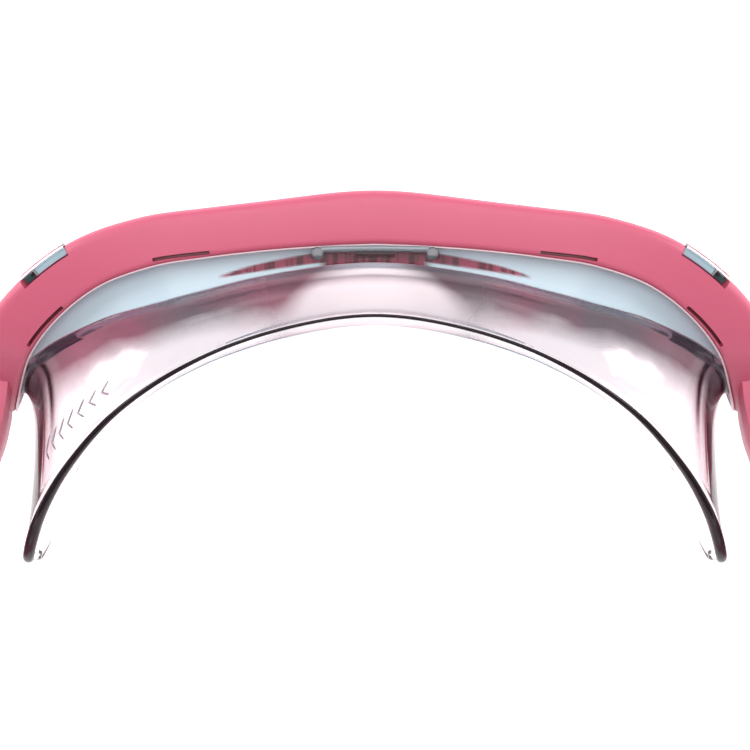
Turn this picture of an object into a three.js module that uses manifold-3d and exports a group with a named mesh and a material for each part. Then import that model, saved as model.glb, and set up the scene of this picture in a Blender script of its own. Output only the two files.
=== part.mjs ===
// Adult swim mask: a wrapped frame round a tinted lens dish, a silicone face seal, and a flat head strap
// in two swivelling buckles.
// Millimetres. +X is the wearer's left, -Y is the front, +Z is up. The origin is under the middle of the
// whole mask, on the surface that it stands on.
import * as THREE from "three";
import { mergeVertices } from "three/addons/utils/BufferGeometryUtils.js";
import Module from "manifold-3d";

const wasm = await Module();
wasm.setup();

// ---- Driving dimensions ----
const maskHeight = 76; // top of the frame over the resting surface
const templeReach = 106; // half width of the frame, measured along its wrapped front
const noseArchHeight = 28.5; // top of the nose arch in the frame
const noseArchHalfWidth = 27;
const standFlat = 0.4; // how much of each lower lobe is cut flat to stand on

const frameWall = 3.6; // outer wall of the frame, across the depth
const bezelWidth = 8; // front face of the frame
const bezelThickness = 3.2;
const frameDepthMiddle = 9.6;
const frameDepthTemple = 12;
const browHeight = 1.9; // how far the middle of the frame stands out
const browSpread = 18;

const clearance = 0.3; // between pieces that touch
const lensThickness = 2.2;
const lensWall = 1.8; // roof and sides of the lens dish
const lensInset = 5; // from the frame's outline to the outside of the dish
const carrierDepth = 1.9;
const carrierWidth = 2.8;
const sealWall = 1.7;
const sealFlangeWidth = 4;
const sealLip = 3.6; // how far the lip curls in over the face
const neckInward = 2.8; // how far the seal's neck pulls in before it flares
const neckDeepest = 4.5;
const neckShare = 0.35; // depth of the neck against the whole flare, up to the deepest

const slotWidth = 0.7;
const slotRearWall = 0.6; // left between a slot and the rear edge of the frame
const browSlot = [35, 48]; // from and to along the front, as for the corner slot
const cornerSlot = [74, 88];
const snapInset = 1.6; // snap shorter than its slot at each end
const snapDepth = 1.1;
const windowStart = 65.5;
const windowLength = 12;
const windowDepth = 2.6;
const windowDrop = 3.4;
const latchBlockLength = 7.8;
const latchSkin = 0.5; // bottom of the window to the latch

const clipHalfLength = 11.4;
const clipThickness = 1.3;
const tongueHalfLength = 4;
const knobRadius = 1.35;

const pivotDepth = 74; // swivel pin, behind the front of the frame
const pivotHeight = 40;
const lugRadius = 9;
const lugInnerX = 86;
const lugOuterX = 92.5;
const pinRadius = 2.5;
const pinHeadRadius = 4.2;
const pinHeadThickness = 1.2;
const armOuterFace = 0.7; // arm's outer face, in from the wrap
const armHalfHeight = 13.5; // where it leaves the frame

const strapThickness = 2;
const strapWidth = 16;
const strapBackWidth = 44;
const strapSlotWidth = 15;
const strapStraight = 66; // from the pin to where the loop starts to bend
const strapLoopDepth = 70;
const tailEnd = 56; // free end of the strap, behind the pin

const rollerRadius = 2.2;
const rollerPinRadius = 0.9;
const rollerSetback = 20; // roller behind the pin
const buckleLength = 31;
const railThickness = 2.8;
const cheekThickness = 2.5;
const leverThickness = 1.8;
const leverPadStart = 5; // near end of the thumb pad, behind the pin
const leverPinRadius = 0.8;
const leverBarrelRadius = 1.7;
const earHalf = 3; // ears that hold the lever's pin
const crossbarHalf = 1;
const springRadius = 1.7;
const springHalf = 2.5;
const keeperLength = 6;
const keeperWall = 1.2;

// ---- Values worked out from them ----
const railInner = strapWidth / 2 + 4 * clearance;
const railOuter = railInner + railThickness;
const strapRadius = rollerRadius + clearance + strapThickness / 2;
const cheekInnerX = lugOuterX + clearance;
const cheekOuterX = cheekInnerX + cheekThickness;
const rollerX = cheekOuterX - strapRadius - strapThickness / 2 + 0.2;
const railX0 = rollerX - strapRadius - strapThickness / 2 + 0.5;
const railX1 = rollerX + strapRadius + strapThickness / 2 + 0.5;
const loopHalfWidth = rollerX - strapRadius;
const strapReach = strapStraight + strapLoopDepth + strapThickness / 2;
const strapSpan = Math.hypot(strapBackWidth / 2, strapReach);
// The strap hangs from its pins until the lower edge of its back touches the surface.
const droop = Math.asin(pivotHeight / strapSpan) - Math.atan2(strapBackWidth / 2, strapReach);
const overallDepth =
  pivotDepth + strapReach * Math.cos(droop) + (strapBackWidth / 2) * Math.sin(droop);

// ---- Small helpers ----
const vec = (x, y, z) => new THREE.Vector3(x, y, z);

function solidOf(geometry) {
  const bare = geometry.clone();
  bare.deleteAttribute("normal");
  bare.deleteAttribute("uv");
  const merged = mergeVertices(bare, 1e-4);
  return new wasm.Manifold(
    new wasm.Mesh({
      numProp: 3,
      vertProperties: Float32Array.from(merged.attributes.position.array),
      triVerts: Uint32Array.from(merged.index.array),
    }),
  );
}

function geometryOf(solid) {
  const mesh = solid.getMesh();
  const geometry = new THREE.BufferGeometry();
  geometry.setAttribute("position", new THREE.BufferAttribute(mesh.vertProperties, 3));
  geometry.setIndex(new THREE.BufferAttribute(mesh.triVerts, 1));
  return geometry;
}

const join = (...shapes) =>
  geometryOf(shapes.map(solidOf).reduce((whole, shape) => whole.add(shape)));
const cut = (shape, ...tools) =>
  geometryOf(tools.map(solidOf).reduce((whole, tool) => whole.subtract(tool), solidOf(shape)));

// Six times the signed volume of a closed indexed geometry.
function signedVolume(positions, index) {
  const at = (i) => positions[index[i]];
  let sum = 0;
  for (let i = 0; i < index.length; i += 3) {
    sum += at(i).dot(vec(0, 0, 0).crossVectors(at(i + 1), at(i + 2)));
  }
  return sum;
}

// A closed body through rings of points. A loop joins its last ring to its first. An open one gets ends of
// strips between the first half of its ring and the second, so its rings have an even count.
function loft(rings, isLoop) {
  const count = rings[0].length;
  const positions = rings.flat();
  const index = [];
  const last = isLoop ? rings.length : rings.length - 1;
  for (let i = 0; i < last; i++) {
    const here = i * count;
    const next = ((i + 1) % rings.length) * count;
    for (let j = 0; j < count; j++) {
      const k = (j + 1) % count;
      index.push(here + j, next + j, next + k, here + j, next + k, here + k);
    }
  }
  if (!isLoop) {
    const end = (rings.length - 1) * count;
    for (let j = 0; j < count / 2 - 1; j++) {
      const [a, b, c, d] = [j, j + 1, count - 2 - j, count - 1 - j];
      index.push(a, b, c, a, c, d, end + a, end + c, end + b, end + a, end + d, end + c);
    }
  }
  if (signedVolume(positions, index) < 0) index.reverse();
  const geometry = new THREE.BufferGeometry().setFromPoints(positions);
  geometry.setIndex(index);
  return geometry;
}

function box(x0, x1, y0, y1, z0, z1) {
  const geometry = new THREE.BoxGeometry(x1 - x0, y1 - y0, z1 - z0);
  return geometry.translate((x0 + x1) / 2, (y0 + y1) / 2, (z0 + z1) / 2);
}

// A turned piece along X or Z: profile points are [radius, distance along the axis], closed on themselves.
function turned(profile, axis, sides) {
  const points = profile.map(([radius, along]) => new THREE.Vector2(radius, along));
  points.push(points[0].clone());
  const geometry = new THREE.LatheGeometry(points, sides);
  const placed = axis === "x" ? geometry.rotateZ(-Math.PI / 2) : geometry.rotateX(Math.PI / 2);
  return solidVolume(placed) < 0 ? reversed(placed) : placed;
}

function solidVolume(geometry) {
  return solidOf(geometry).volume();
}

function reversed(geometry) {
  const index = Array.from(geometry.index.array).reverse();
  geometry.setIndex(index);
  return geometry;
}

const disc = (radius, from, to, axis, sides = 24) =>
  turned([[0, from], [radius, from], [radius, to], [0, to]], axis, sides);

// A copy on the wearer's right of a piece made on the wearer's left.
const onRight = (geometry) => reversed(geometry.clone().scale(-1, 1, 1));

// ---- Wrap of the frame: its front in plan, from the middle to the wearer's left ----
const wrapHalf = [
  [0, 1.9], [20, 2.5], [36, 3.9], [48, 5.6], [62, 10.4], [74, 19.2], [82, 29.5], [85.8, 40],
  [88.5, 50], [91, 60], [92.3, 70], [92.5, 80], [92.5, 90],
];
const wrapCurve = new THREE.CatmullRomCurve3(
  [...wrapHalf.slice(1).reverse().map(([x, d]) => vec(-x, d, 0)),
    ...wrapHalf.map(([x, d]) => vec(x, d, 0))],
  false,
  "centripetal",
);
wrapCurve.arcLengthDivisions = 1500;
const wrapLength = wrapCurve.getLength();

// u runs along the front, v goes in towards the face, z is the height.
function wrap(u, v, z) {
  const share = THREE.MathUtils.clamp(0.5 + u / wrapLength, 0, 1);
  const point = wrapCurve.getPointAt(share);
  const along = wrapCurve.getTangentAt(share);
  return vec(point.x - along.y * v, point.y + along.x * v, z);
}

// ---- Outline of the frame, unrolled: [u, z, depth of the lens rim], from the top round to the nose ----
const reach = templeReach;
const drawnReach = 106; // the reach that the curves below are drawn for
const stretch = reach / drawnReach;
const top = maskHeight;
const arch = noseArchHeight;
const archWide = noseArchHalfWidth;
const outlineHalf = [
  [0, top, 11.2],
  [24 * stretch, top + 0.8, 13.1],
  [48 * stretch, top, 16],
  [70 * stretch, top - 4, 14.8],
  [88 * stretch, top - 12, 11.2],
  [100 * stretch, top - 23, 8.6],
  [reach, top - 36, 8.6],
  [102 * stretch, 27, 8.6],
  [91 * stretch, 15, 9.2],
  [75 * stretch, 6, 11],
  [57 * stretch, 1.2 - standFlat, 12.5],
  [40, -standFlat, 12.5],
  [archWide, 2.5, 11.5],
  [archWide * 0.667, arch * 0.35, 10],
  [archWide * 0.444, arch * 0.667, 8.8],
  [archWide * 0.241, arch * 0.912, 8],
  [0, arch, 7.6],
];

// The rim of the seal on the face, in step with the outline: [x, depth, z].
const browZ = top - 2; // the rim's height over the brow
const faceWide = (reach - drawnReach) / 2; // the temples of the rim follow the frame's reach
const faceHalf = [
  [0, 24.9, browZ - 0.5],
  [20, 27.9, browZ + 0.5],
  [38, 34.6, browZ],
  [53 + faceWide / 2, 44.2, browZ - 4],
  [64 + faceWide, 56.2, browZ - 12],
  [70.4 + faceWide, 67, browZ - 22],
  [73 + faceWide, 75.6, top * 0.526],
  [70.5 + faceWide, 70.5, 28],
  [65 + faceWide, 56, 17],
  [57 + faceWide / 2, 45.6, 8],
  [47, 38.2, 1.5],
  [archWide + 9.5, 32.2, 0],
  [archWide, 28.2, 3],
  [archWide * 0.722, 25.4, arch * 0.35],
  [archWide * 0.489, 21.4, arch * 0.65],
  [archWide * 0.259, 17.2, arch * 0.912],
  [0, 15.4, arch + 1],
];

// A closed curve from a half that runs from the top to the bottom. The first number changes sign.
function mirroredLoop(half) {
  const there = half.map(([a, b, c]) => vec(a, b, c));
  const back = half.slice(1, -1).reverse().map(([a, b, c]) => vec(-a, b, c));
  return new THREE.CatmullRomCurve3([...there, ...back], true, "centripetal");
}
const outline = mirroredLoop(outlineHalf);
const faceLoop = mirroredLoop(faceHalf);
const stationCount = 3 * outline.points.length;
const stations = Array.from({ length: stationCount }, (_, i) => i / stationCount);

const frameDepth = (u) =>
  frameDepthMiddle + (frameDepthTemple - frameDepthMiddle) * Math.min(Math.abs(u) / reach, 1);
const brow = (u) => browHeight * Math.exp(-((u / browSpread) ** 2));

// A point n in from the outline and v deep, at a share of the way round.
function ringPoint(share, n, v) {
  const t = share - Math.floor(share);
  const at = outline.getPoint(t);
  const along = outline.getTangent(t);
  const length = Math.hypot(along.x, along.y);
  const u = at.x + (n * along.y) / length;
  const z = Math.max(at.y, 0) - (n * along.x) / length;
  return wrap(u, v, z);
}

// Sweeps a section, a function of the station that gives [n, v] points, round the outline or along a part.
function sweep(section, shares = stations, isLoop = true) {
  return loft(shares.map((t) => section(t).map(([n, v]) => ringPoint(t, n, v))), isLoop);
}

// The share of the outline where its top passes u, on the wearer's left.
function topShare(u) {
  let low = 0;
  let high = 6 / outline.points.length;
  for (let i = 0; i < 30; i++) {
    const middle = (low + high) / 2;
    if (outline.getPoint(middle).x < u) low = middle;
    else high = middle;
  }
  return low;
}

// A block along the top of the outline from u0 to u1, n0 to n1 in, and v0 to v1 deep.
function topBlock(u0, u1, n0, n1, v0, v1, steps = 4) {
  const from = topShare(u0);
  const to = topShare(u1);
  const shares = Array.from({ length: steps + 1 }, (_, i) => from + ((to - from) * i) / steps);
  return sweep(() => [[n0, v0], [n1, v0], [n1, v1], [n0, v1]], shares, false);
}

// ---- Frame ----
function frameSection(t) {
  const u = outline.getPoint(t).x;
  const rear = frameDepth(u);
  const out = brow(u);
  return [
    [0, 2.6 - out],
    [0.7, 0.8 - out],
    [2.4, -out],
    [bezelWidth - 1.2, 0.3 - out],
    [bezelWidth, 1.3 - 0.6 * out],
    [bezelWidth, bezelThickness],
    [frameWall, bezelThickness],
    [frameWall, rear],
    [0.9, rear],
    [0, rear - 0.9],
  ];
}

// The strap arm: from inside the frame's outer wall to the pin, as levels of height on both faces.
function strapArm() {
  const samples = Array.from({ length: 200 }, (_, i) => outline.getPoint(0.05 + (0.4 * i) / 199));
  const edgeAt = (z) =>
    samples.reduce((best, p) => (Math.abs(p.y - z) < Math.abs(best.y - z) ? p : best)).x;
  let end = reach;
  while (wrap(end, 0, 0).y < pivotDepth - pinHeadRadius - 1) end += 0.25;
  const halfHeights = [armHalfHeight, 13, 12, 11, 10, 9.2, lugRadius - 0.4];
  const innerFaces = [10.5, 11.6, 11.8, 11.4, 8.6, 6.9, lugOuterX - lugInnerX];
  const levels = [-1, -0.5, 0, 0.5, 1];
  const rings = halfHeights.map((half, k) => {
    const share = k / (halfHeights.length - 1);
    const row = (v) => levels.map((level) => {
      const z = pivotHeight + level * half;
      const from = edgeAt(pivotHeight + level * armHalfHeight) - frameWall / 2;
      const chamfer = Math.abs(level) === 1 ? 1 : 0;
      const deep = v === armOuterFace ? v + chamfer : v - chamfer;
      return wrap(from + (end - from) * share, deep, z);
    });
    return [...row(armOuterFace), ...row(innerFaces[k]).reverse()];
  });
  return loft(rings, false);
}

function outerFrame() {
  const ring = sweep(frameSection);
  const lug = disc(lugRadius, lugInnerX, lugOuterX, "x").translate(0, pivotDepth, pivotHeight);
  const bore = disc(pinRadius + clearance, lugInnerX - 9, lugOuterX + 9, "x")
    .translate(0, pivotDepth, pivotHeight);
  const leftSide = [strapArm(), lug];
  const leftCuts = [bore, templeWindow(), ...snapSlots()];
  return cut(
    join(ring, ...leftSide, ...leftSide.map(onRight)),
    ...leftCuts,
    ...leftCuts.map(onRight),
  );
}

// Windows in the frame's front corner show the latches, and slots near its rear edge show the snaps.
const templeWindow = () =>
  topBlock(windowStart, windowStart + windowLength, -2, windowDrop, -2, windowDepth);

const slotRear = ([from, to]) => frameDepth((from + to) / 2) - slotRearWall;
const snapSlots = () => [browSlot, cornerSlot].map((span) => {
  const rear = slotRear(span);
  return topBlock(...span, -2, frameWall + 1, rear - slotWidth, rear);
});

// ---- Lens: a tinted dish with a pane, a wall back to its rim, and two snaps under the slots ----
const paneFront = bezelThickness + clearance;
const paneRear = paneFront + lensThickness;
const dishInner = lensInset + lensWall;

function lensPane() {
  const edge = Array.from({ length: 600 }, (_, i) => {
    const t = i / 600;
    const at = outline.getPoint(t);
    const along = outline.getTangent(t);
    const length = Math.hypot(along.x, along.y);
    const n = lensInset + 1;
    return { u: at.x + (n * along.y) / length, z: at.y - (n * along.x) / length, t };
  });
  const widest = reach - lensInset - 3;
  const columns = 36;
  const nearest = (list, u) =>
    list.reduce((best, p) => (Math.abs(p.u - u) < Math.abs(best.u - u) ? p : best)).z;
  const upper = edge.filter((p) => p.z > top - 38);
  const lower = edge.filter((p) => p.z <= top - 38);
  const rings = Array.from({ length: columns + 1 }, (_, i) => {
    const u = widest * Math.sin((i / columns - 0.5) * Math.PI);
    const high = nearest(upper, u);
    const low = nearest(lower, u);
    const skin = 0.1; // keeps the pane's faces off the wall's faces where they meet
    return [
      wrap(u, paneFront + skin, low),
      wrap(u, paneFront + skin, high),
      wrap(u, paneRear - skin, high),
      wrap(u, paneRear - skin, low),
    ];
  });
  return loft(rings, false);
}

function lens() {
  const wall = sweep((t) => {
    const rim = outline.getPoint(t).z;
    return [
      [frameWall + 2 * clearance, paneFront],
      [bezelWidth + 1, paneFront],
      [bezelWidth + 1, paneRear],
      [dishInner, paneRear],
      [dishInner, rim],
      [lensInset, rim],
      [lensInset, paneRear],
      [frameWall + 2 * clearance, paneRear],
    ];
  });
  const snaps = [browSlot, cornerSlot].map((span) => {
    const rear = slotRear(span);
    const [from, to] = [span[0] + snapInset, span[1] - snapInset];
    return topBlock(from, to, frameWall + clearance, lensInset + 0.6, rear - snapDepth, rear);
  });
  return join(wall, lensPane(), ...snaps, ...snaps.map(onRight));
}

// ---- Seal carrier: hard ring between the lens rim and the seal ----
const carrierFront = (t) => outline.getPoint(t).z + clearance;
function sealCarrier() {
  const outer = lensInset - 0.5;
  return sweep((t) => {
    const front = carrierFront(t);
    return [
      [outer, front],
      [outer + carrierWidth, front],
      [outer + carrierWidth, front + carrierDepth],
      [outer, front + carrierDepth],
    ];
  });
}

// ---- Face seal: flange, neck, flare to the face, and a lip that curls in ----
const flareSteps = 5;

function sealOuterPath(t) {
  const front = carrierFront(t) + carrierDepth + clearance;
  const start = ringPoint(t, lensInset + 0.3, front + sealWall + 0.3);
  const inward = ringPoint(t, lensInset + 1.3, front).sub(ringPoint(t, lensInset + 0.3, front));
  const deeper = ringPoint(t, lensInset, front + 1).sub(ringPoint(t, lensInset, front));
  const end = faceLoop.getPoint(t);
  const pinch = Math.min(neckShare * start.distanceTo(end), neckDeepest);
  const middle = start.clone().addScaledVector(inward, neckInward).addScaledVector(deeper, pinch);
  const bend = new THREE.QuadraticBezierCurve3(start, middle, end);
  const flare = Array.from({ length: flareSteps + 1 }, (_, j) => bend.getPoint(j / flareSteps));
  return { front, flare };
}

function faceSeal() {
  const paths = stations.map(sealOuterPath);
  const rings = paths.map(({ front, flare }, i) => {
    const t = stations[i];
    const before = paths[(i + stationCount - 1) % stationCount].flare;
    const after = paths[(i + 1) % stationCount].flare;
    const tangents = flare.map((_, j) => {
      const ahead = flare[Math.min(j + 1, flareSteps)];
      return ahead.clone().sub(flare[Math.max(j - 1, 0)]).normalize();
    });
    const inward = flare.map((_, j) =>
      vec(0, 0, 0).crossVectors(tangents[j], after[j].clone().sub(before[j])).normalize());
    const rim = flare[flareSteps];
    const back = tangents[flareSteps];
    const into = inward[flareSteps];
    const lipPoint = (rearward, inner) =>
      rim.clone().addScaledVector(back, rearward).addScaledVector(into, inner);
    const ring = [
      ringPoint(t, lensInset - 0.5, front),
      ringPoint(t, lensInset - 0.5, front + sealWall),
      ...flare,
      lipPoint(1, 0.6),
      lipPoint(1.6, 1.9),
      lipPoint(1.1, sealLip),
      lipPoint(0.2, sealLip),
      lipPoint(0.4, 2.2),
      ...flare.map((p, j) => p.clone().addScaledVector(inward[j], sealWall)).reverse(),
      ringPoint(t, lensInset - 0.5 + sealFlangeWidth, front),
    ];
    ring.forEach((p) => {
      p.z = Math.max(p.z, 0);
    });
    return ring;
  });
  return loft(rings, true);
}

// ---- Bridge clip: glossy bar behind the middle of the frame, with a knob at each end and a tongue ----
function bridgeClip() {
  const front = frameDepthMiddle + clearance;
  const rear = front + clipThickness;
  const low = lensInset - 3 * clearance;
  const evenShares = (half, steps) =>
    Array.from({ length: 2 * steps + 1 }, (_, i) => ((i - steps) / steps) * topShare(half));
  const bar = sweep(
    () => [[0.7, front], [low, front], [low, rear], [0.7, rear]],
    evenShares(clipHalfLength, 6),
    false,
  );
  const tongue = sweep(
    () => [[2.2, rear - clearance], [low, rear - clearance], [low, rear + 1.3], [2.2, rear + 0.9]],
    evenShares(tongueHalfLength, 2),
    false,
  );
  const knobs = [-1, 1].map((side) => {
    const at = wrap(side * (clipHalfLength + 0.8), front + knobRadius + 0.1, 0);
    return disc(knobRadius, top - low + 0.2, top - clearance, "z", 16).translate(at.x, at.y, 0);
  });
  return join(bar, tongue, ...knobs);
}

// ---- Temple latch: block in the window, with a step down to a floor behind it ----
function templeLatch() {
  const [u0, u1] = [windowStart + clearance, windowStart + windowLength - clearance];
  const [low, deep] = [windowDrop - clearance, windowDepth - clearance];
  const split = u0 + latchBlockLength;
  return join(
    topBlock(u0, split, 1, low, latchSkin, deep),
    topBlock(split - 0.5, u1, low - 0.7, low, latchSkin, deep),
    topBlock(u0, u1, 0.5, low, -0.1, latchSkin + 0.2),
  );
}

// ---- Strap buckle, about its pin: x is across the mask, y runs back along the strap ----
function swivelPin() {
  const inner = lugInnerX - clearance;
  const outer = cheekOuterX + clearance;
  return turned(
    [
      [0, inner - pinHeadThickness],
      [pinHeadRadius, inner - pinHeadThickness],
      [pinHeadRadius, inner],
      [pinRadius, inner],
      [pinRadius, outer],
      [pinHeadRadius, outer],
      [pinHeadRadius, outer + pinHeadThickness],
      [0, outer + pinHeadThickness],
    ],
    "x",
    24,
  );
}

const leverPivotX = railX1 + 2.2;
const leverPivotY = 14;
const blockStart = lugRadius + 0.5;
const blockEnd = rollerSetback - strapRadius - strapThickness / 2 - 2 * clearance - 1.9;

function clipBody() {
  const cheekHalf = lugRadius - 0.5;
  const mirrorPair = (make) => [make(1), make(-1)];
  const rail = (side) => {
    const [a, b] = [side * railInner, side * railOuter].sort((p, q) => p - q);
    return box(railX0, railX1, blockEnd - 1, buckleLength, a, b);
  };
  const ear = (side) => {
    const [a, b] = [side * railInner, side * railOuter].sort((p, q) => p - q);
    return box(railX1 - 1, railX1 + 4, leverPivotY - earHalf, leverPivotY + earHalf, a, b);
  };
  const body = join(
    disc(cheekHalf, cheekInnerX, cheekOuterX, "x"),
    box(cheekInnerX, cheekOuterX, 0, blockEnd - 1, -cheekHalf, cheekHalf),
    box(railX0, railX1, blockStart, blockEnd, -railOuter, railOuter),
    box(rollerX - crossbarHalf, rollerX + crossbarHalf, buckleLength - 3, buckleLength,
      -railOuter + 1, railOuter - 1),
    ...mirrorPair(rail),
    ...mirrorPair(ear),
  );
  const throughZ = railOuter + 1;
  return cut(
    body,
    disc(pinRadius + clearance, cheekInnerX - 1, cheekOuterX + 1, "x"),
    disc(rollerPinRadius + clearance / 2, -throughZ, throughZ, "z", 20)
      .translate(rollerX, rollerSetback, 0),
    disc(leverPinRadius + clearance / 2, -throughZ, throughZ, "z", 20)
      .translate(leverPivotX, leverPivotY, 0),
  );
}

const leverHalf = railInner - clearance - 0.1;
const leverInnerX = leverPivotX - leverThickness / 2 + 0.1;

function releaseLever() {
  const pad = new THREE.Shape();
  const outerX = leverInnerX + leverThickness;
  pad.moveTo(leverInnerX, leverPadStart);
  pad.lineTo(outerX, leverPadStart + 0.4);
  pad.lineTo(outerX + 0.5, leverPadStart + 4);
  pad.lineTo(outerX, leverPivotY + 1.4);
  pad.lineTo(leverInnerX + 1, rollerSetback + 0.5);
  pad.lineTo(railX1 + 0.3, rollerSetback + 1);
  pad.lineTo(railX1 + 0.3, rollerSetback - 1.5);
  pad.lineTo(leverInnerX, leverPivotY + 1.2);
  const plate = new THREE.ExtrudeGeometry(pad, { depth: 2 * leverHalf, bevelEnabled: false });
  const bore = disc(leverPinRadius + clearance / 2, -leverHalf - 1, leverHalf + 1, "z", 20);
  const barrel = disc(leverBarrelRadius, -leverHalf, leverHalf, "z", 20);
  const room = springRadius + clearance;
  const springWindow = box(-room, room + 1, -room, room, -springHalf, springHalf);
  return cut(
    join(
      mergeVertices(plate.translate(0, 0, -leverHalf)),
      barrel.translate(leverPivotX, leverPivotY, 0),
    ),
    bore.translate(leverPivotX, leverPivotY, 0),
    springWindow.translate(leverPivotX, leverPivotY, 0),
  );
}

const leverPin = () =>
  disc(leverPinRadius, -railOuter - 0.2, railOuter + 0.2, "z", 20)
    .translate(leverPivotX, leverPivotY, 0);

// A torsion spring round the lever's pin, in a window in the lever.
function leverSpring() {
  const half = springHalf - clearance;
  const bore = leverPinRadius + clearance;
  return turned([[bore, -half], [springRadius, -half], [springRadius, half], [bore, half]], "z", 16)
    .translate(leverPivotX, leverPivotY, 0);
}

const rollerPin = () =>
  disc(rollerPinRadius, -railOuter - 0.2, railOuter + 0.2, "z", 20)
    .translate(rollerX, rollerSetback, 0);

function strapRoller() {
  const half = railInner - clearance;
  const bore = rollerPinRadius + clearance / 2;
  return turned([[bore, -half], [rollerRadius, -half], [rollerRadius, half], [bore, half]], "z", 24)
    .translate(rollerX, rollerSetback, 0);
}

function strapKeeper() {
  const x0 = rollerX - strapRadius - strapThickness / 2 - 2 * clearance;
  const x1 = rollerX + strapRadius + strapThickness / 2 + 2 * clearance;
  const z = strapWidth / 2 + 2 * clearance;
  const from = buckleLength + 10;
  const to = from + keeperLength;
  return cut(
    box(x0 - keeperWall, x1 + keeperWall, from, to, -z - keeperWall, z + keeperWall),
    box(x0, x1, from - 1, to + 1, -z, z),
  );
}

// ---- Head strap: tail, turn round the roller, straight run, loop round the head, and back ----
function strapStations() {
  const half = [];
  const outerX = rollerX + strapRadius;
  half.push({ at: vec(outerX, tailEnd, 0), dir: vec(0, -1, 0) });
  half.push({ at: vec(outerX, rollerSetback, 0), dir: vec(0, -1, 0) });
  const turnSteps = 8;
  for (let i = 1; i <= turnSteps; i++) {
    const angle = (Math.PI * i) / turnSteps;
    half.push({
      at: vec(
        rollerX + strapRadius * Math.cos(angle),
        rollerSetback - strapRadius * Math.sin(angle),
        0,
      ),
      dir: vec(-Math.sin(angle), -Math.cos(angle), 0),
    });
  }
  const loopSteps = 18;
  for (let i = 0; i <= loopSteps; i++) {
    const angle = (0.5 * Math.PI * i) / loopSteps;
    half.push({
      at: vec(loopHalfWidth * Math.cos(angle), strapStraight + strapLoopDepth * Math.sin(angle), 0),
      dir: vec(-loopHalfWidth * Math.sin(angle), strapLoopDepth * Math.cos(angle), 0).normalize(),
      share: i / loopSteps,
    });
  }
  const mirrored = half.slice(0, -1).reverse().map(({ at, dir, share }) => ({
    at: vec(-at.x, at.y, 0),
    dir: vec(dir.x, -dir.y, 0),
    share,
  }));
  return [...half, ...mirrored];
}

function stripAlong(line, thickness, halfHeight) {
  return loft(
    line.map(({ at, dir, share = 0 }) => {
      const side = vec(dir.y, -dir.x, 0).multiplyScalar(thickness / 2);
      const h = halfHeight(share);
      return [
        vec(at.x + side.x, at.y + side.y, -h),
        vec(at.x + side.x, at.y + side.y, h),
        vec(at.x - side.x, at.y - side.y, h),
        vec(at.x - side.x, at.y - side.y, -h),
      ];
    }),
    false,
  );
}

function headStrap() {
  const line = strapStations();
  const ease = (share, from, to) => THREE.MathUtils.smootherstep(share, from, to);
  const half = (share) =>
    strapWidth / 2 + ((strapBackWidth - strapWidth) / 2) * ease(share, 0.1, 0.8);
  const slotHalf = (share) => Math.max((strapSlotWidth / 2) * ease(share, 0.35, 0.85), 0.3);
  const back = line.filter(({ share }) => share > 0.4);
  return cut(stripAlong(line, strapThickness, half), stripAlong(back, strapThickness + 3, slotHalf));
}

// ---- Assembly ----
const finishes = {
  framePink: { color: 0xe2738c, roughness: 0.42, metalness: 0 },
  lensTint: { color: 0xbdd0dc, roughness: 0.08, metalness: 0 },
  clearHard: { color: 0xe9edf2, roughness: 0.08, metalness: 0 },
  clearSoft: { color: 0xf7f1f6, roughness: 0.2, metalness: 0 },
  latchBlue: { color: 0xa5bec8, roughness: 0.25, metalness: 0 },
  strapPink: { color: 0xf0b3c3, roughness: 0.5, metalness: 0 },
  steel: { color: 0xb8bcc2, roughness: 0.3, metalness: 1 },
};

const group = new THREE.Group();
const mask = new THREE.Group();
mask.position.y = -overallDepth / 2;
group.add(mask);

function add(parent, name, geometry, finish) {
  const mesh = new THREE.Mesh(geometry, new THREE.MeshStandardMaterial(finishes[finish]));
  mesh.name = name;
  mesh.geometry.computeVertexNormals();
  parent.add(mesh);
}

function addPair(parent, name, geometry, finish) {
  add(parent, name + "_left", geometry, finish);
  add(parent, name + "_right", onRight(geometry), finish);
}

add(mask, "outer_frame", outerFrame(), "framePink");
add(mask, "lens", lens(), "lensTint");
add(mask, "seal_carrier", sealCarrier(), "clearHard");
add(mask, "face_seal", faceSeal(), "clearSoft");
add(mask, "bridge_clip", bridgeClip(), "clearHard");
addPair(mask, "temple_latch", templeLatch(), "latchBlue");

const pinLine = new THREE.Group();
pinLine.position.set(0, pivotDepth, pivotHeight);
mask.add(pinLine);
addPair(pinLine, "swivel_pin", swivelPin(), "steel");

const strapGroup = new THREE.Group();
strapGroup.rotation.x = -droop;
pinLine.add(strapGroup);
addPair(strapGroup, "clip_body", clipBody(), "framePink");
addPair(strapGroup, "release_lever", releaseLever(), "strapPink");
addPair(strapGroup, "lever_pin", leverPin(), "steel");
addPair(strapGroup, "lever_spring", leverSpring(), "steel");
addPair(strapGroup, "strap_roller", strapRoller(), "clearHard");
addPair(strapGroup, "roller_pin", rollerPin(), "steel");
addPair(strapGroup, "strap_keeper", strapKeeper(), "strapPink");
add(strapGroup, "head_strap", headStrap(), "strapPink");

export default group;
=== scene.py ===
import math
import bpy
import bmesh
import numpy as np
from mathutils import Matrix, Vector


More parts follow.
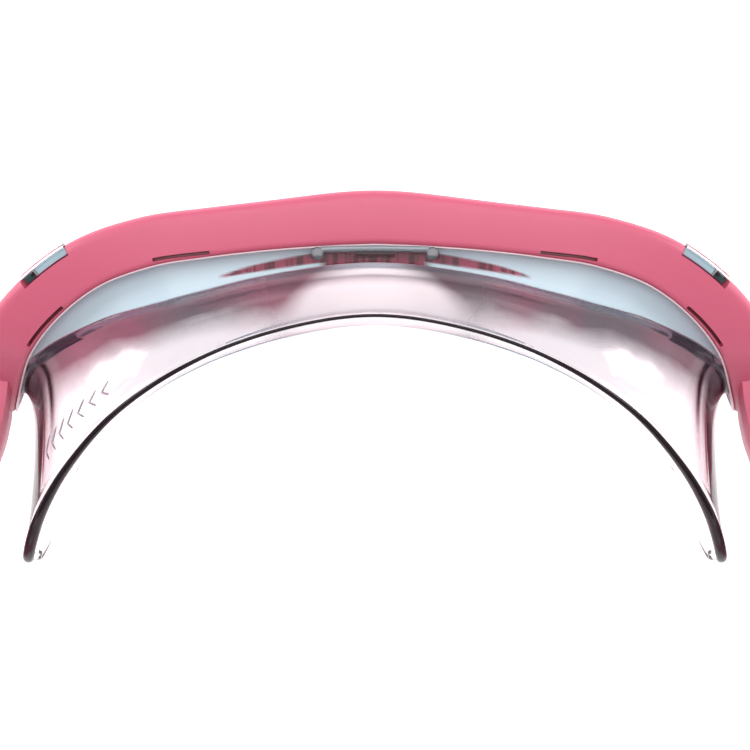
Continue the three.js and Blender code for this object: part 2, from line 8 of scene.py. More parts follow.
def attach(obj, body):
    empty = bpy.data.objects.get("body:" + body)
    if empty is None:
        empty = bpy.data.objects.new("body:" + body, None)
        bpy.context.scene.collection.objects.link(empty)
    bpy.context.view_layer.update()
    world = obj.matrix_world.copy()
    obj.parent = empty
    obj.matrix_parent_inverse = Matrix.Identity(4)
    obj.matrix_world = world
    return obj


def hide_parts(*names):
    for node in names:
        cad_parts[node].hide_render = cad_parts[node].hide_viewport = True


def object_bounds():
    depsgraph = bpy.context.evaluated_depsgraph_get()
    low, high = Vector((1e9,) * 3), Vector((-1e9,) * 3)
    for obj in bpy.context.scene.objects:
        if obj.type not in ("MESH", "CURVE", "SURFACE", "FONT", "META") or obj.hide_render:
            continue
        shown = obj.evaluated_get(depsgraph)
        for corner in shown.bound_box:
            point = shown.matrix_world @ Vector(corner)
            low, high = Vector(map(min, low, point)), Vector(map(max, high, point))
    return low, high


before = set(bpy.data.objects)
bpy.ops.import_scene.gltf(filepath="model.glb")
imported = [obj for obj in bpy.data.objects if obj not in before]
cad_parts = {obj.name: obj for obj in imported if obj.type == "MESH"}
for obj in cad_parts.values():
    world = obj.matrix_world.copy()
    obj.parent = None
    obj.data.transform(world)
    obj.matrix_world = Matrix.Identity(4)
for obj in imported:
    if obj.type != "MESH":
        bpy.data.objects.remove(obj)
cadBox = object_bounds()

mm = 0.001
sides = {"left": 1, "right": -1}
frontY = cadBox[0].y  # the brow of the frame
print("frame loaded", [round(v / mm, 1) for v in cadBox[1] - cadBox[0]], "mm")


studio = {
    "seenWidth": 153.8 * mm,  # width in view at the height of the frame's top
    "topHeight": 72 * mm,
    "distance": 1.8,
    "lookBehindFront": 38.4 * mm,
    "sensor": 36,
    "clip": (0.01, 20),
    "floorSize": 14.0,
    "floorColour": (0.9, 0.9, 0.9, 1),
    "floorGlow": 0.75,
    "skyLow": (0.0, (0.3, 0.3, 0.31, 1)),  # place on the ramp and colour
    "skyHigh": (0.55, (1, 1, 1, 1)),
    "skyStrength": 0.4,
    "lamps": {  # place, size and power
        "overhead": ((0, -0.5, 2.3), 1.4, 17),
        "frontLeft": ((1.6, -0.7, 0.85), 0.8, 17),
        "frontRight": ((-1.6, -0.7, 0.85), 0.8, 17),
    },
}


def makeCamera():
    cameraData = bpy.data.cameras.new("camera")
    cameraData.sensor_width = studio["sensor"]
    cameraData.lens = studio["sensor"] * studio["distance"] / studio["seenWidth"]
    cameraData.clip_start, cameraData.clip_end = studio["clip"]
    camera = bpy.data.objects.new("camera", cameraData)
    bpy.context.collection.objects.link(camera)
    height = studio["topHeight"] + studio["distance"]
    camera.location = (0, frontY + studio["lookBehindFront"], height)
    camera.rotation_euler = (0, 0, math.pi)  # straight down, with the mask's front at the top
    bpy.context.scene.camera = camera


makeCamera()


class Sock:
    def __init__(self, tree, socket):
        self.tree = tree
        self.socket = socket

    def maths(self, operation, a, b=None, c=None):
        node = self.tree.nodes.new("ShaderNodeMath")
        node.operation = operation
        for slotIndex, value in enumerate((a, b, c)):
            if value is None:
                continue
            if isinstance(value, Sock):
                self.tree.links.new(value.socket, node.inputs[slotIndex])
            else:
                node.inputs[slotIndex].default_value = value
        return Sock(self.tree, node.outputs[0])

    def __add__(self, other): return self.maths("ADD", self, other)
    def __radd__(self, other): return self.maths("ADD", other, self)
    def __sub__(self, other): return self.maths("SUBTRACT", self, other)
    def __rsub__(self, other): return self.maths("SUBTRACT", other, self)
    def __mul__(self, other): return self.maths("MULTIPLY", self, other)
    def __rmul__(self, other): return self.maths("MULTIPLY", other, self)
    def clamped(self): return self.maths("MINIMUM", self.maths("MAXIMUM", self, 0.0), 1.0)


class Finish:
    def __init__(self, name):
        self.material = bpy.data.materials.new(name)
        self.material.use_nodes = True
        self.tree = self.material.node_tree
        self.shader = self.tree.nodes["Principled BSDF"]

    def node(self, kind, settings=None, inputs=None, output=0):
        node = self.tree.nodes.new(kind)
        for key, value in (settings or {}).items():
            setattr(node, key, value)
        for key, value in (inputs or {}).items():
            self.feed(node.inputs[key], value)
        return Sock(self.tree, node.outputs[output])

    def feed(self, socket, value):
        if isinstance(value, Sock):
            self.tree.links.new(value.socket, socket)
        else:
            socket.default_value = value

    def place(self):
        return self.node("ShaderNodeTexCoord", output="Object")

    def noise(self, scale, detail=3.0, rough=0.5, vector=None):
        inputs = {"Scale": scale, "Detail": detail, "Roughness": rough}
        inputs["Vector"] = vector or self.place()
        return self.node("ShaderNodeTexNoise", {"noise_dimensions": "3D"}, inputs)

    def mix(self, share, a, b):
        return self.node(
            "ShaderNodeMix", {"data_type": "RGBA"}, {0: share, 6: a, 7: b}, output=2
        )

    def bump(self, height, strength, distance):
        return self.node(
            "ShaderNodeBump", None, {"Height": height, "Strength": strength, "Distance": distance}
        )

    def set(self, **values):
        names = {
            "colour": "Base Color", "rough": "Roughness", "metal": "Metallic",
            "coat": "Coat Weight", "coatRough": "Coat Roughness", "normal": "Normal",
            "clear": "Transmission Weight", "ior": "IOR", "specular": "Specular IOR Level",
            "sub": "Subsurface Weight", "subRadius": "Subsurface Radius",
            "subScale": "Subsurface Scale",
            "glow": "Emission Color", "glowPower": "Emission Strength",
        }
        for key, value in values.items():
            self.feed(self.shader.inputs[names[key]], value)
        return self


def satinPlastic(name, colour, deep, rough=0.4, sub=0.0):
    finish = Finish(name)
    broad = finish.noise(35.0, 3.0)
    grain = finish.noise(5200.0, 2.0)
    finish.set(
        colour=finish.mix((broad * 0.8).clamped(), colour, deep),
        rough=rough - 0.04 + grain * 0.1,
        normal=finish.bump(grain, 0.12, 0.00008),
        coat=0.06,
        coatRough=0.3,
        sub=sub,
        subRadius=(1.0, 0.45, 0.5),
        subScale=0.002,
    )
    return finish.material


def clearStuff(name, colour, ior, rough, clear=1.0):
    finish = Finish(name)
    smears = finish.noise(90.0, 4.0)
    finish.set(colour=colour, clear=clear, ior=ior, rough=rough + smears * 0.02)
    return finish.material


frost = {"half": 0.027, "sideFade": 90.0, "low": 0.056, "lowFade": 120.0, "rough": 0.3}


def siliconeWithPaintedShade(name, clearColour, paintedShadeColour, paintedPinkReflection):
    # the neck by the frame gets painted shade with a painted pink reflection of the frame in it,
    # and the painted shade clears towards the face
    finish = Finish(name)
    share = finish.node("ShaderNodeAttribute", {"attribute_name": "paintedLightShare"}, output=2)
    # the carried share is where shade is painted; noise blots break it into patches of painted
    # highlight
    shadeAndHighlightBlots = finish.noise(75.0, 3.0, 0.55)
    level = (share * 1.3 + (shadeAndHighlightBlots - 0.5) * 1.5 * share).clamped()
    # noise patches of a painted pink reflection of the frame within the painted shade
    pinkReflectionShare = ((finish.noise(38.0, 2.0) - 0.42) * 4.0).clamped()
    ripple = finish.noise(55.0, 1.0)
    # the roof over the nose is frosted
    place = finish.place()
    across = finish.node("ShaderNodeSeparateXYZ", None, {"Vector": place})
    across = across.maths("ABSOLUTE", across)
    height = finish.node("ShaderNodeSeparateXYZ", None, {"Vector": place}, output=2)
    nose = ((frost["half"] - across) * frost["sideFade"]).clamped() * (
        (height - frost["low"]) * frost["lowFade"]).clamped()
    finish.set(
        colour=finish.mix(level, clearColour, finish.mix(pinkReflectionShare, paintedShadeColour, paintedPinkReflection)),
        clear=1.0,
        ior=1.36,
        rough=0.03 + level * 0.12 + nose * frost["rough"],
        normal=finish.bump(ripple, 0.08, 0.0006),
    )
    return finish.material


def tintWithPaintedRefraction(name, colour, paintedFramePink, paintedGrooveShade):
    # pale blue, with the frame's pink painted on as upright ribs where the carried share is 1: a
    # painted refraction of the frame, with painted shade in the grooves
    finish = Finish(name)
    share = finish.node("ShaderNodeAttribute", {"attribute_name": "paintedLightShare"}, output=2)
    place = finish.place()
    ribs = finish.node("ShaderNodeTexNoise", {"noise_dimensions": "3D"}, {
        "Vector": finish.node("ShaderNodeMapping", None,
                              {"Vector": place, "Scale": (1.0, 0.04, 0.04)}),
        "Scale": 900.0, "Detail": 1.0})
    # painted shade in the grooves between the painted pink ribs
    grooveShadeShare = ((ribs - 0.4) * 5.0).clamped()
    finish.set(colour=finish.mix(share, colour, finish.mix(grooveShadeShare, paintedFramePink, paintedGrooveShade)),
               clear=0.12, ior=1.5, rough=0.08, specular=0.2,
               normal=finish.bump(ribs * share, 0.25, 0.0002))
    return finish.material


def turnedSteel(name):
    finish = Finish(name)
    place = finish.place()
    grain = finish.noise(900.0, 2.0, vector=finish.node(
        "ShaderNodeMapping", None, {"Vector": place, "Scale": (8.0, 1.0, 1.0)}))
    finish.set(
        colour=finish.mix(grain, (0.55, 0.56, 0.58, 1), (0.7, 0.71, 0.73, 1)),
        metal=1.0,
        rough=0.22 + grain * 0.16,
        normal=finish.bump(grain, 0.1, 0.00005),
    )
    return finish.material


palette = {
    "framePink": satinPlastic(
        "framePink", (0.77, 0.15, 0.25, 1), (0.69, 0.125, 0.215, 1), 0.4, 0.08),
    "bucklePink": satinPlastic(
        "bucklePink", (0.74, 0.15, 0.245, 1), (0.66, 0.12, 0.2, 1), 0.36),
    "leverPink": satinPlastic("leverPink", (0.86, 0.4, 0.48, 1), (0.8, 0.34, 0.42, 1), 0.32),
    "strapPink": satinPlastic(
        "strapPink", (0.88, 0.43, 0.52, 1), (0.84, 0.37, 0.47, 1), 0.46, 0.25),
    "lensTint": clearStuff("lensTint", (0.62, 0.74, 0.82, 1), 1.5, 0.02, clear=0.92),
    # pale blue lens tint, with painted pink ribs standing for the frame seen through, and painted
    # groove shade
    "skirtTint": tintWithPaintedRefraction(
        "skirtTint", (0.74, 0.9, 1.0, 1), (0.4, 0.06, 0.12, 1), (0.14, 0.015, 0.035, 1)),
    "clipGloss": clearStuff("clipGloss", (0.5, 0.56, 0.63, 1), 1.75, 0.02, clear=0.65),
    "knobGloss": clearStuff("knobGloss", (0.2, 0.2, 0.24, 1), 1.7, 0.04, clear=0.5),
    "tongueShade": satinPlastic(
        "tongueShade", (0.09, 0.025, 0.04, 1), (0.05, 0.012, 0.02, 1), 0.15),
    "sealRim": clearStuff("sealRim", (0.022, 0.012, 0.018, 1), 1.4, 0.12, clear=0.25),
    "sealMark": clearStuff("sealMark", (0.5, 0.45, 0.5, 1), 1.4, 0.05, clear=0.9),
    "clearHard": clearStuff("clearHard", (0.95, 0.97, 1.0, 1), 1.55, 0.02),
    # clear silicone with painted shade, a painted pink reflection of the frame and patches of
    # painted highlight
    "clearSoft": siliconeWithPaintedShade(
        "clearSoft", (0.99, 0.965, 0.985, 1), (0.2, 0.17, 0.19, 1), (0.34, 0.14, 0.19, 1)),
    # dark maroon: painted shade inside the frame's slots
    "slotPaintedShade": satinPlastic("slotPaintedShade", (0.27, 0.045, 0.075, 1), (0.18, 0.03, 0.05, 1), 0.3),
    # pale pink lip, partly a painted highlight along the frame's rear edge
    "paleLipHighlight": satinPlastic("paleLipHighlight", (0.95, 0.72, 0.78, 1), (0.9, 0.62, 0.7, 1), 0.18),
    # black: painted shade in the latch's hole
    "holePaintedShade": satinPlastic("holePaintedShade", (0.012, 0.012, 0.015, 1), (0.03, 0.02, 0.025, 1), 0.3),
    "latchBlue": satinPlastic("latchBlue", (0.46, 0.66, 0.74, 1), (0.4, 0.58, 0.66, 1), 0.22),
    # the teal of the latch pocket darkened with painted shade
    "shadedLatchFloor": satinPlastic("shadedLatchFloor", (0.05, 0.12, 0.12, 1), (0.03, 0.08, 0.085, 1), 0.3),
    "pinSteel": turnedSteel("pinSteel"),
}
print("finishes made")


def splineAt(points, closed, shares):
    points = np.asarray(points, float)
    count = len(points)
    shares = np.asarray(shares, float)
    if closed:
        place = (shares % 1.0) * count
        first = np.floor(place).astype(int) % count
        weight = place - np.floor(place)
        p0, p1, p2, p3 = (points[(first + k) % count] for k in (-1, 0, 1, 2))
    else:
        place = np.clip(shares, 0, 1) * (count - 1)
        first = np.minimum(np.floor(place).astype(int), count - 2)
        weight = place - first
        padded = np.vstack([2 * points[0] - points[1], points, 2 * points[-1] - points[-2]])
        p0, p1, p2, p3 = (padded[first + k] for k in (0, 1, 2, 3))
    gap = lambda a, b: np.maximum(np.linalg.norm(a - b, axis=-1), 1e-9)[..., None] ** 0.5
    d0, d1, d2 = gap(p0, p1), gap(p1, p2), gap(p2, p3)
    t1 = ((p1 - p0) / d0 - (p2 - p0) / (d0 + d1) + (p2 - p1) / d1) * d1
    t2 = ((p2 - p1) / d1 - (p3 - p1) / (d1 + d2) + (p3 - p2) / d2) * d1
    w = weight[..., None]
    return (
        p1 + t1 * w
        + (-3 * p1 + 3 * p2 - 2 * t1 - t2) * w**2
        + (2 * p1 - 2 * p2 + t1 + t2) * w**3
    )


mask = {
    "height": 76, "reach": 106, "arch": 28.5, "archHalf": 27, "standFlat": 0.4,
    "wall": 3.6, "bezel": 8, "bezelThick": 3.2, "depthMiddle": 9.6, "depthTemple": 12,
    "brow": 1.9, "browSpread": 18, "clearance": 0.3,
    "lensThick": 2.2, "lensWall": 1.8, "lensInset": 5,
    "carrierDepth": 1.9, "sealWall": 1.7, "sealFlange": 4,
    "stations": 384,
}
wrapHalf = [
    (0, 1.9), (20, 2.5), (36, 3.9), (48, 5.6), (62, 10.4), (74, 19.2), (82, 29.5), (85.8, 40),
    (88.5, 50), (91, 60), (92.3, 70), (92.5, 80), (92.5, 90),
]
reach, top = mask["reach"], mask["height"]
arch, archHalf = mask["arch"], mask["archHalf"]
outlineHalf = [  # unrolled: along the front, height, depth of the lens rim
    (0, top, 11.2), (24, top + 0.8, 13.1), (48, top, 16), (70, top - 4, 14.8),
    (reach - 18, top - 12, 11.2), (reach - 6, top - 23, 8.6), (reach, top - 36, 8.6),
    (reach - 4, 27, 8.6), (reach - 15, 15, 9.2), (75, 6, 11),
    (57, 1.2 - mask["standFlat"], 12.5), (40, -mask["standFlat"], 12.5), (archHalf, 2.5, 11.5),
    (archHalf * 0.667, arch * 0.35, 10), (archHalf * 0.444, arch * 0.667, 8.8),
    (archHalf * 0.241, arch * 0.912, 8), (0, arch, 7.6),
]
faceHalf = [  # rim of the seal on the face: across, depth, height
    (0, 24.9, 73.5), (20, 27.9, 74.5), (38, 34.6, 74), (53, 44.2, 70), (64, 56.2, 62),
    (70.4, 67, 52), (73, 75.6, 40), (70.5, 70.5, 28), (65, 56, 17), (57, 45.6, 8),
    (47, 38.2, 1.5), (archHalf + 9.5, 32.2, 0), (archHalf, 28.2, 3),
    (archHalf * 0.722, 25.4, arch * 0.35), (archHalf * 0.489, 21.4, arch * 0.65),
    (archHalf * 0.259, 17.2, arch * 0.912), (0, 15.4, arch + 1),
]
bothWays = lambda half: half + [(-a, b, c) for a, b, c in half[-2:0:-1]]
outlinePoints, facePoints = bothWays(outlineHalf), bothWays(faceHalf)

wrapDense = splineAt([(-x, d) for x, d in wrapHalf[:0:-1]] + wrapHalf, False,
                     np.linspace(0, 1, 6001))
wrapStep = np.linalg.norm(np.diff(wrapDense, axis=0), axis=1)
wrapArc = np.concatenate([[0], np.cumsum(wrapStep)])
wrapArc -= wrapArc[-1] / 2


def wrap(u, v, z):
    u, v, z = np.broadcast_arrays(*(np.asarray(a, float) for a in (u, v, z)))
    x = np.interp(u, wrapArc, wrapDense[:, 0])
    d = np.interp(u, wrapArc, wrapDense[:, 1])
    ahead, behind = u + 0.4, u - 0.4
    tx = np.interp(ahead, wrapArc, wrapDense[:, 0]) - np.interp(behind, wrapArc, wrapDense[:, 0])
    ty = np.interp(ahead, wrapArc, wrapDense[:, 1]) - np.interp(behind, wrapArc, wrapDense[:, 1])
    size = np.hypot(tx, ty)
    return np.stack([x - ty / size * v, d + tx / size * v, z], axis=-1)


def outlineAt(shares):
    shares = np.asarray(shares, float)
    at = splineAt(outlinePoints, True, shares)
    along = splineAt(outlinePoints, True, shares + 5e-4) - splineAt(
        outlinePoints, True, shares - 5e-4)
    size = np.hypot(along[..., 0], along[..., 1])
    return at, along[..., 1] / size, -along[..., 0] / size


def ringPoint(shares, n, v):
    at, inU, inZ = outlineAt(shares)
    return wrap(at[..., 0] + n * inU, v, np.maximum(at[..., 1], 0) + n * inZ)


frameDepth = lambda u: mask["depthMiddle"] + (
    mask["depthTemple"] - mask["depthMiddle"]) * np.minimum(np.abs(u) / reach, 1)
browOut = lambda u: mask["brow"] * np.exp(-((u / mask["browSpread"]) ** 2))
allShares = np.arange(mask["stations"]) / mask["stations"]


def topShare(u):
    shares = np.linspace(0, 6 / len(outlinePoints), 3000)
    return math.copysign(np.interp(abs(u), splineAt(outlinePoints, True, shares)[:, 0], shares), u)


def deselectAll():
    if bpy.context.object and bpy.context.object.mode != "OBJECT":
        bpy.ops.object.mode_set(mode="OBJECT")
    bpy.ops.object.select_all(action="DESELECT")


def activate(piece):
    deselectAll()
    piece.select_set(True)
    bpy.context.view_layer.objects.active = piece


def toWorld(points):
    return (np.asarray(points) * mm + np.array([0, frontY, 0])).reshape(-1, 3)


def lofted(name, grid, loop=True, carried=None):
    grid = np.asarray(grid)
    rows, columns = grid.shape[:2]
    last = rows if loop else rows - 1
    faces = []
    for i in range(last):
        a, b = i * columns, ((i + 1) % rows) * columns
        for j in range(columns):
            k = (j + 1) % columns
            faces.append((a + j, b + j, b + k, a + k))
    if not loop:
        faces.append(tuple(range(columns)))
        faces.append(tuple(range((rows - 1) * columns, rows * columns))[::-1])
    mesh = bpy.data.meshes.new(name)
    mesh.from_pydata(toWorld(grid).tolist(), [], faces)
    if carried is not None:
        # the carried values say where light or shade is painted on the piece
        layer = mesh.attributes.new("paintedLightShare", "FLOAT", "POINT")
        layer.data.foreach_set("value", np.asarray(carried, np.float32).ravel())
    piece = bpy.data.objects.new(name, mesh)
    bpy.context.collection.objects.link(piece)
    tidyMesh(piece)
    return piece


def tidyMesh(piece, merge=1e-6):
    shape = bmesh.new()
    shape.from_mesh(piece.data)
    bmesh.ops.remove_doubles(shape, verts=shape.verts, dist=merge)
    bmesh.ops.dissolve_degenerate(shape, edges=shape.edges, dist=merge)
    bmesh.ops.recalc_face_normals(shape, faces=shape.faces)
    if shape.calc_volume(signed=True) < 0:
        bmesh.ops.reverse_faces(shape, faces=shape.faces)
    shape.to_mesh(piece.data)
    shape.free()


def rounded(corners, steps=4):
    # corners: n, v and radius for each, every one a number or an array over the stations
    size = np.broadcast_shapes(*(np.shape(value) for corner in corners for value in corner))
    spread = lambda value: np.broadcast_to(np.asarray(value, float), size)
    points = [np.stack([spread(n), spread(v)], -1) for n, v, _ in corners]
    out = []
    for i, (_, _, radius) in enumerate(corners):
        here, before, after = points[i], points[i - 1], points[(i + 1) % len(points)]
        if np.all(np.asarray(radius) == 0):
            out.append(here)
            continue
        ends = []
        for other in (before, after):
            gap = np.linalg.norm(other - here, axis=-1)[..., None]
            share = np.minimum(spread(radius)[..., None] / np.maximum(gap, 1e-6), 0.48)
            ends.append(here + (other - here) * share)
        for t in np.linspace(0, 1, steps + 1):
            out.append((1 - t) ** 2 * ends[0] + 2 * t * (1 - t) * here + t**2 * ends[1])
    return np.stack(out, axis=-2)


def swept(name, corners, shares=allShares, loop=True, steps=4):
    section = rounded(corners, steps)
    if section.ndim == 2:
        section = np.broadcast_to(section, (len(shares),) + section.shape)
    grid = ringPoint(np.asarray(shares)[:, None], section[..., 0], section[..., 1])
    return lofted(name, grid, loop)


def topBlock(name, u0, u1, n0, n1, v0, v1, radius=0.0, count=24, side=1):
    shares = np.linspace(topShare(side * u0), topShare(side * u1), count)
    corners = [(n0, v0, radius), (n1, v0, radius), (n1, v1, radius), (n0, v1, radius)]
    return swept(name, corners, shares, loop=False, steps=3)


def disc(name, radius, x0, x1, centre, axis="X"):
    deselectAll()
    turn = (0, math.pi / 2, 0) if axis == "X" else (0, 0, 0)
    middle = Vector(centre)
    middle["XYZ".index(axis)] = (x0 + x1) / 2
    place = toWorld([tuple(middle)])[0]
    bpy.ops.mesh.primitive_cylinder_add(
        vertices=64, radius=radius * mm, depth=(x1 - x0) * mm,
        location=place, rotation=turn)
    piece = bpy.context.object
    piece.name = name
    bpy.ops.object.transform_apply(location=True, rotation=True, scale=True)
    return piece


def booled(piece, tools, operation):
    for tool in tools:
        activate(piece)
        cutter = piece.modifiers.new("bool", "BOOLEAN")
        cutter.operation = operation
        cutter.solver = "EXACT"
        cutter.object = tool
        bpy.ops.object.modifier_apply(modifier=cutter.name)
        bpy.data.objects.remove(tool, do_unlink=True)
    tidyMesh(piece, 2e-6)
    return piece


def softened(piece, width, segments=2, angle=35):
    activate(piece)
    bevel = piece.modifiers.new("edges", "BEVEL")
    bevel.width = width * mm
    bevel.segments = segments
    bevel.limit_method = "ANGLE"
    bevel.angle_limit = math.radians(angle)
    bevel.use_clamp_overlap = True
    bpy.ops.object.modifier_apply(modifier=bevel.name)
    return piece


def finished(piece, name, body, finish, nodes, angle=40):
    piece.name = name
    piece.data.name = name
    activate(piece)
    bpy.ops.object.transform_apply(location=True, rotation=True, scale=True)
    bpy.ops.object.shade_smooth_by_angle(angle=math.radians(angle))
    piece.data.materials.clear()
    piece.data.materials.append(palette[finish])
    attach(piece, body)
    if nodes:
        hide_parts(*nodes)
    return piece


frameSizes = {
    "armHalf": [13.5, 13.2, 12.6, 11.6, 10.4, 9.4, 8.8],
    "armInner": [10.5, 11.6, 11.8, 11.4, 8.6, 6.9, 6.5],
    "armOuter": 0.7, "armStations": 44, "armLevels": 13, "armRound": 0.7,
    "armProfile": 241, "armSmooth": 25,
    "pivotDepth": 74, "pivotHeight": 40, "lugRadius": 9, "lugInner": 86, "lugOuter": 92.5,
    "bore": 2.8, "boreFrom": 77, "boreTo": 102, "pinHead": 4.2,
    "windowStart": 65.5, "windowLength": 12, "windowDepth": 2.6, "windowDrop": 3.4,
    "latchBlock": 7.8, "slotWidth": 0.7, "slotRearWall": 0.6, "slots": ((35, 48), (74, 88)),
}


def strapArm(side):
    size = frameSizes
    probe = splineAt(outlinePoints, True, np.linspace(0.05, 0.45, 2000))
    edge = lambda z: probe[np.abs(probe[:, 1] - z).argmin(), 0]
    end = reach
    while wrap(end, 0, 0)[1] < size["pivotDepth"] - size["pinHead"] - 1:
        end += 0.1
    share = np.linspace(0, 1, size["armStations"])
    knots = np.linspace(0, 1, len(size["armHalf"]))
    profile, spread = np.linspace(0, 1, size["armProfile"]), size["armSmooth"]
    smooth = lambda values: np.interp(share, profile, np.convolve(
        np.pad(np.interp(profile, knots, values), spread // 2, "edge"),
        np.ones(spread) / spread, "valid"))
    half, inner = smooth(size["armHalf"]), smooth(size["armInner"])
    rings = []
    for k, s in enumerate(share):
        ring = []
        levels = np.linspace(-1, 1, size["armLevels"])
        bulge = size["armRound"] * np.abs(levels) ** 6  # rounds the arm's long edges
        for v, sign in ((size["armOuter"], 1), (inner[k], -1)):
            row = []
            for level, drop in zip(levels, bulge):
                start = edge(size["pivotHeight"] + level * size["armHalf"][0]) - mask["wall"] / 2
                row.append(wrap(start + (end - start) * s, v + sign * 2.2 * drop,
                                size["pivotHeight"] + level * half[k]))
            ring += row if sign == 1 else row[::-1]
        rings.append(ring)
    grid = np.array(rings)
    grid[..., 0] *= side
    return lofted("arm", grid, loop=False)


def makeFrame():
    size = frameSizes
    at, _, _ = outlineAt(allShares)
    u = at[:, 0]
    rear, out = frameDepth(u), browOut(u)
    bezel, thick, wall = mask["bezel"], mask["bezelThick"], mask["wall"]
    body = swept("outerFrame", [
        (0, -out + 0.35, 2.6), (bezel - 0.6, -out * 0.8 + 0.5, 1.6), (bezel, thick, 0.5),
        (wall, thick, 0.4), (wall, rear, 0.7), (0.55, rear, 1.3), (0.0, rear * 0.45, 3.0),
    ], steps=6)
    joined = []
    for side in sides.values():
        joined.append(strapArm(side))
        joined.append(softened(disc(
            "lug", size["lugRadius"], *sorted((side * size["lugInner"], side * size["lugOuter"])),
            (0, size["pivotDepth"], size["pivotHeight"])), 0.8, 3))
    booled(body, joined, "UNION")
    tools = []
    for side in sides.values():
        tools.append(disc("bore", size["bore"],
                          *sorted((side * size["boreFrom"], side * size["boreTo"])),
                          (0, size["pivotDepth"], size["pivotHeight"])))
        start = size["windowStart"]
        tools.append(topBlock("window", start, start + size["windowLength"], -2,
                              size["windowDrop"], -3, size["windowDepth"], side=side))
        for u0, u1 in size["slots"]:
            back = frameDepth((u0 + u1) / 2) - size["slotRearWall"]
            tools.append(topBlock("slot", u0, u1, -2, wall + 1, back - size["slotWidth"], back,
                                  side=side))
    booled(body, tools, "DIFFERENCE")
    return finished(body, "frameShell", "mask", "framePink", ["outer_frame"], 32)


def makeRearBead():
    # a pale lip along the band's rear edge, its pale colour partly a painted highlight
    at, _, _ = outlineAt(allShares)
    rear = frameDepth(at[:, 0])
    body = swept("rearBead", [(0.9, rear + 0.03, 0), (2.2, rear + 0.03, 0), (2.0, rear + 0.4, 0.15),
                              (0.95, rear + 0.36, 0.2)], steps=3)
    return finished(body, "rearLip", "mask", "paleLipHighlight", None, 50)


def makeSlotShades(name, side):
    # a dark block inside each slot: painted shade in the depth of the slot
    size = frameSizes
    for place, (u0, u1) in zip(("brow", "corner"), size["slots"]):
        back = frameDepth((u0 + u1) / 2) - size["slotRearWall"] - 0.03
        shadePiece = topBlock("shadePiece", u0 + 0.1, u1 - 0.1, 2.2, mask["wall"] - 0.1,
                         back - size["slotWidth"] + 0.06, back, 0.05, side=side)
        finished(shadePiece, f"slotShadeBlock_{place}_{name}", "mask", "slotPaintedShade", None)


makeFrame()
makeRearBead()
for name, side in sides.items():
    makeSlotShades(name, side)
print("frame made")


lensSizes = {
    "edgeSamples": 1600, "columns": 161, "paneGap": 0.02, "roofRows": 14, "roofStep": 0.3,
    "eyeHeight": 1.2, "eyeFrom": 10, "eyeLength": 30, "eyeSpread": 22,  # painted ribs beside the bar: a painted refraction of the frame
    "barHalf": 10.5, "barHeight": 6, "ribsAhead": 1.8, "ribFade": 0.3, "ribsOver": 50,
}


def makeLens():
    size = lensSizes
    front = mask["bezelThick"] + mask["clearance"]
    rear = front + mask["lensThick"]
    inset, wall = mask["lensInset"], mask["lensWall"]
    at, _, _ = outlineAt(allShares)
    rim = at[:, 2]
    edge = mask["wall"] + 2 * mask["clearance"]
    back = rim + mask["clearance"] + mask["carrierDepth"]  # the skirt hides the carrier
    roofRows = [(inset, back - size["roofStep"] * k, 0) for k in range(1, size["roofRows"] + 1)]
    section = rounded([
        (edge, front, 0.4), (inset + wall, front, 0.3), (inset + wall, back, 0.3),
        (inset, back, 0.2), *roofRows, (inset, rear, 0.3), (edge, rear, 0.4),
    ], 3)
    grid = ringPoint(allShares[:, None], section[..., 0], section[..., 1])
    across = np.abs(grid[..., 0])
    past = np.clip(across - size["eyeFrom"], 0, size["eyeLength"]) / size["eyeSpread"]
    eye = size["eyeHeight"] * np.sqrt(np.clip(1 - past**2, 0, 1))
    # behind the bar the painted ribs fill the whole roof
    eye = np.where(across < size["barHalf"], size["barHeight"], eye)
    off = np.abs(section[..., 1] - (back[:, None] - size["ribsAhead"]))
    paintedRibs = np.clip((eye - off) / size["ribFade"], 0, 1) * (grid[..., 2] > size["ribsOver"])
    skirt = lofted("skirt", grid, carried=paintedRibs)
    shares = np.arange(size["edgeSamples"]) / size["edgeSamples"]
    edgeAt, inU, inZ = outlineAt(shares)
    gap = size["paneGap"]
    u = edgeAt[:, 0] + (inset + wall + gap) * inU
    z = edgeAt[:, 1] + (inset + wall + gap) * inZ
    columns = (reach - inset - wall - 0.5) * np.sin(
        np.linspace(-0.5, 0.5, size["columns"]) * math.pi)
    upper, lower = z > top - 38, z <= top - 38
    pick = lambda which, column: z[which][np.abs(u[which] - column).argmin()]
    rings = []
    for column in columns:
        high, low = pick(upper, column), pick(lower, column)
        rings.append([wrap(column, front + gap, low), wrap(column, front + gap, high),
                      wrap(column, rear - gap, high), wrap(column, rear - gap, low)])
    finished(skirt, "lensSkirt", "mask", "skirtTint", ["lens"], 32)
    pane = lofted("pane", rings, loop=False)
    return finished(pane, "lensPane", "mask", "lensTint", ["lens"], 32)


makeLens()
print("lens made")


carrierSizes = {"length": 1.7, "width": 0.9, "gap": 0.1}


def makeCarrier():
    size = carrierSizes
    at, _, _ = outlineAt(allShares)
    front, back = at[:, 2] + mask["clearance"], at[:, 2] + mask["clearance"] + size["length"]
    outer = mask["lensInset"] + mask["lensWall"] + size["gap"]
    inner = outer + size["width"]
    body = swept("carrier", [(outer, front, 0.2), (inner, front, 0.3),
                             (inner, back, 0.3), (outer, back, 0.2)], steps=3)
    return finished(body, "carrierRing", "mask", "clearHard", ["seal_carrier"], 32)


